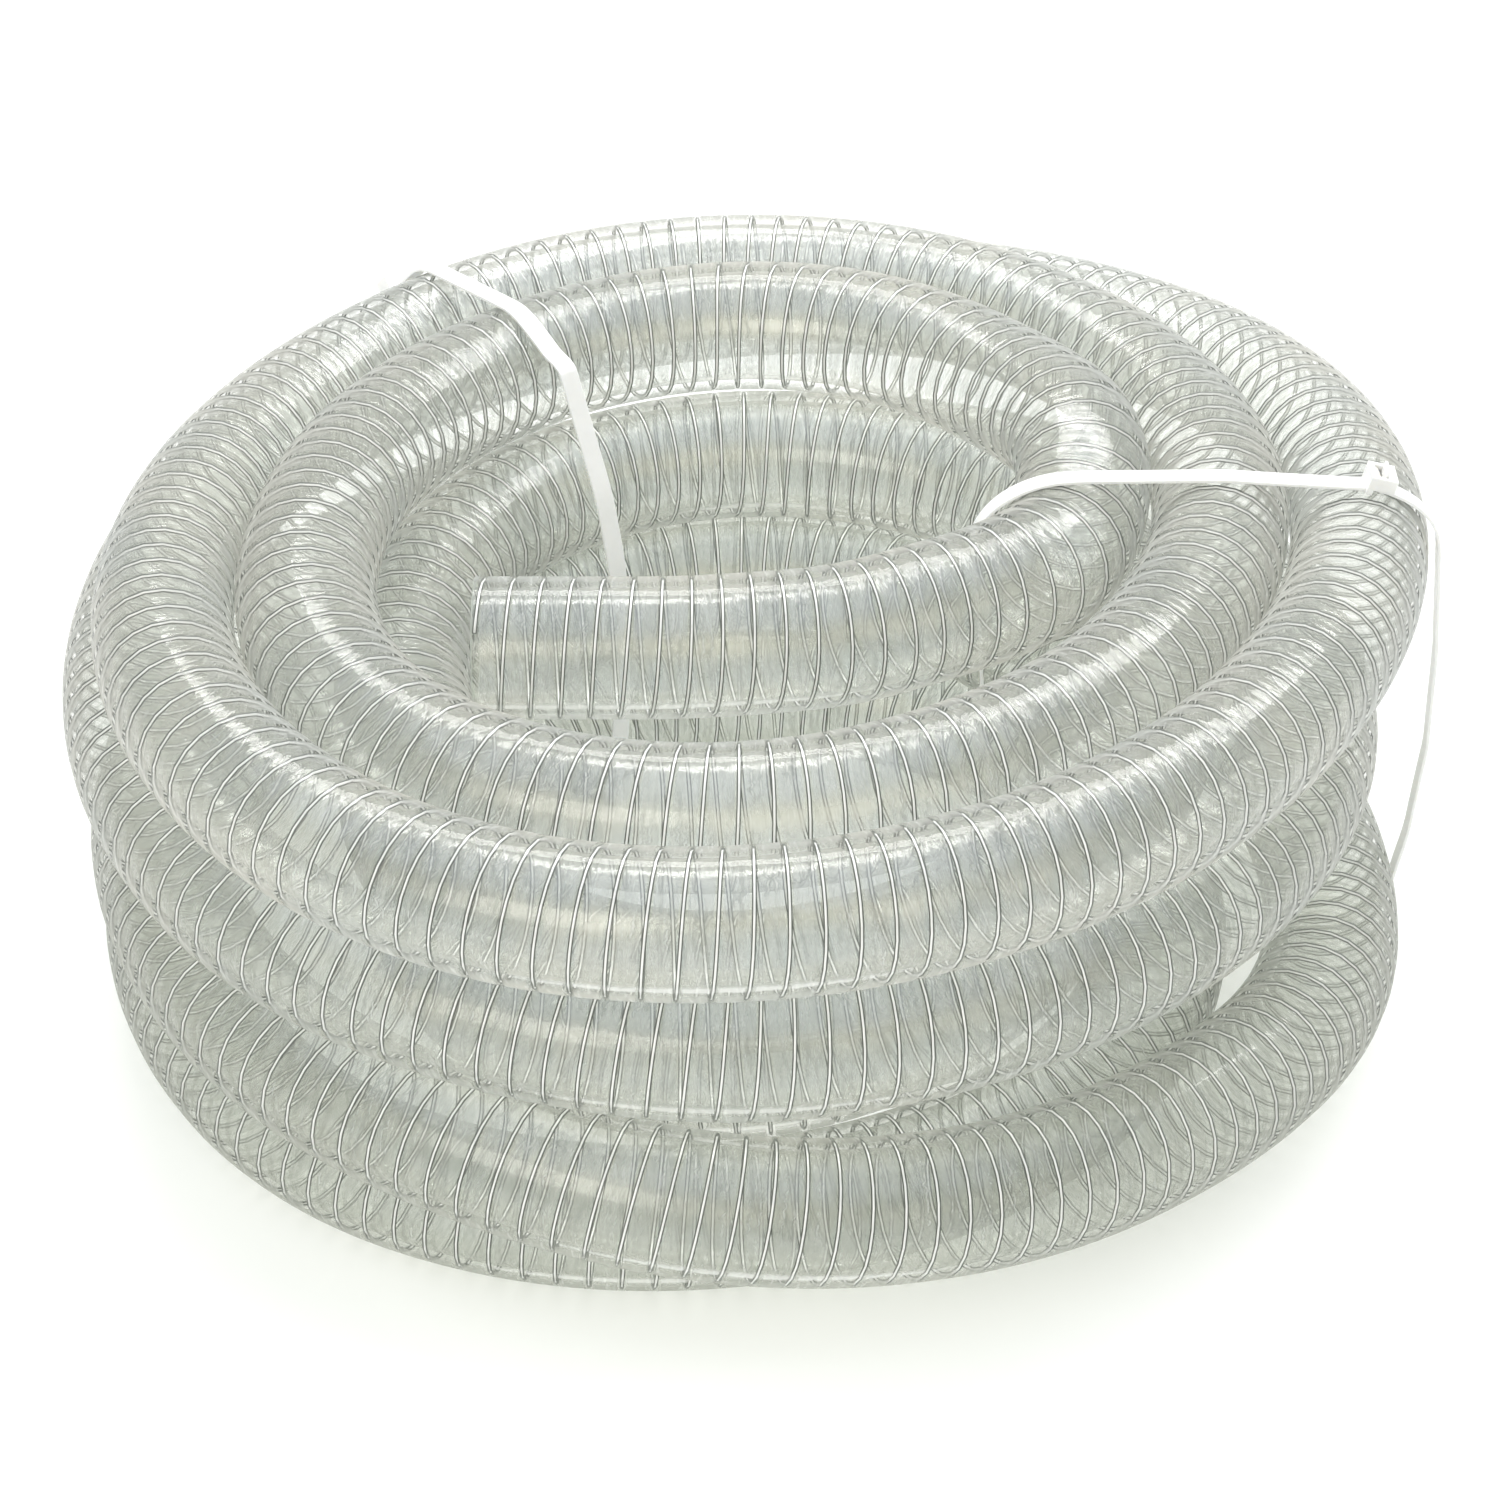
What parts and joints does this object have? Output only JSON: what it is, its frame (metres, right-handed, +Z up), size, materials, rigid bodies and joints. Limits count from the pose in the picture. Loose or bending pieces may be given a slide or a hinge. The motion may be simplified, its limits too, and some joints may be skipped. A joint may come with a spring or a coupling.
{
  "type": "vacuum hose",
  "caption": "Coiled clear PVC suction hose with an embedded steel wire helix, plain cut ends and two nylon cable ties holding the turns together; its free end flexes up and inwards.",
  "frame": {"origin": "on the floor, at the centre of the coil's box seen from above", "axes": "+Z up along the coil's axis; the free end lies along X in the front half of the coil (-Y) and its mouth faces -X"},
  "size_m": [0.6069, 0.6426, 0.251],
  "materials": {
    "clear_pvc": "clear, glossy, slightly green",
    "spring_steel": "bright drawn wire",
    "white_nylon": "moulded natural nylon"
  },
  "bodies": {
    "coil": {"hose_wall_coil": "clear_pvc", "steel_helix_coil_1": "spring_steel", "steel_helix_coil_2": "spring_steel", "steel_helix_coil_3": "spring_steel", "hose_wall_far_end": "clear_pvc", "steel_helix_far_end": "spring_steel"},
    "hose_length_1": {"hose_wall_tail_1": "clear_pvc", "steel_helix_tail_1": "spring_steel"},
    "hose_length_2": {"hose_wall_tail_2": "clear_pvc", "steel_helix_tail_2": "spring_steel"},
    "hose_length_3": {"hose_wall_tail_3": "clear_pvc", "steel_helix_tail_3": "spring_steel"},
    "hose_length_4": {"hose_wall_tail_4": "clear_pvc", "steel_helix_tail_4": "spring_steel"},
    "hose_length_5": {"hose_wall_tail_5": "clear_pvc", "steel_helix_tail_5": "spring_steel"},
    "hose_length_6": {"hose_wall_tail_6": "clear_pvc", "steel_helix_tail_6": "spring_steel"},
    "tie_right": {"cable_tie_right": "white_nylon"},
    "pawl_right": {"tie_pawl_right": "white_nylon"},
    "tie_left": {"cable_tie_left": "white_nylon"},
    "pawl_left": {"tie_pawl_left": "white_nylon"}
  },
  "joints": [
    {"name": "free_end_lift", "type": "hinge", "parent": "coil", "child": "hose_length_6", "pos_m": [0.12767, -0.0263, 0.21028], "axis": [-0.8169, 0.5768, 0], "range_deg": [0, 9]},
    {"name": "free_end_swing", "type": "hinge", "parent": "hose_length_6", "child": "hose_length_5", "pos_m": [0.09631, -0.05317, 0.21006], "axis": [0, 0, -1], "range_deg": [0, 8]},
    {"name": "free_end_lift_2", "type": "hinge", "parent": "hose_length_5", "child": "hose_length_4", "pos_m": [0.05944, -0.07239, 0.20992], "axis": [-0.4286, 0.9035, 0], "range_deg": [0, 9]},
    {"name": "free_end_swing_2", "type": "hinge", "parent": "hose_length_4", "child": "hose_length_3", "pos_m": [0.02028, -0.0861, 0.21019], "axis": [0, 0, -1], "range_deg": [0, 8]},
    {"name": "free_end_lift_3", "type": "hinge", "parent": "hose_length_3", "child": "hose_length_2", "pos_m": [-0.02083, -0.0923, 0.21086], "axis": [-0.1029, 0.9947, 0], "range_deg": [0, 9]},
    {"name": "free_end_swing_3", "type": "hinge", "parent": "hose_length_2", "child": "hose_length_1", "pos_m": [-0.06235, -0.09443, 0.2115], "axis": [0, 0, -1], "range_deg": [0, 8]},
    {"name": "tie_right_shift", "type": "hinge", "parent": "coil", "child": "tie_right", "pos_m": [0.00165, -0.01283, 0], "axis": [0, 0, 1], "range_deg": [-0.5, 1.5]},
    {"name": "pawl_right_flex", "type": "hinge", "parent": "tie_right", "child": "pawl_right", "pos_m": [0.26811, -0.00818, 0.24397], "axis": [-0.0175, 0.9998, 0], "range_deg": [0, 12]},
    {"name": "tie_left_shift", "type": "hinge", "parent": "coil", "child": "tie_left", "pos_m": [0.00165, -0.01283, 0], "axis": [0, 0, 1], "range_deg": [-1.5, 1.5]},
    {"name": "pawl_left_flex", "type": "hinge", "parent": "tie_left", "child": "pawl_left", "pos_m": [-0.17144, 0.22541, 0.21048], "axis": [-0.809, -0.5878, 0], "range_deg": [0, 12]}
  ],
  "couplings": [
    {"joint": "free_end_lift_2", "follows": "free_end_lift", "ratio": 1},
    {"joint": "free_end_swing_2", "follows": "free_end_swing", "ratio": 1},
    {"joint": "free_end_lift_3", "follows": "free_end_lift", "ratio": 1},
    {"joint": "free_end_swing_3", "follows": "free_end_swing", "ratio": 1}
  ]
}
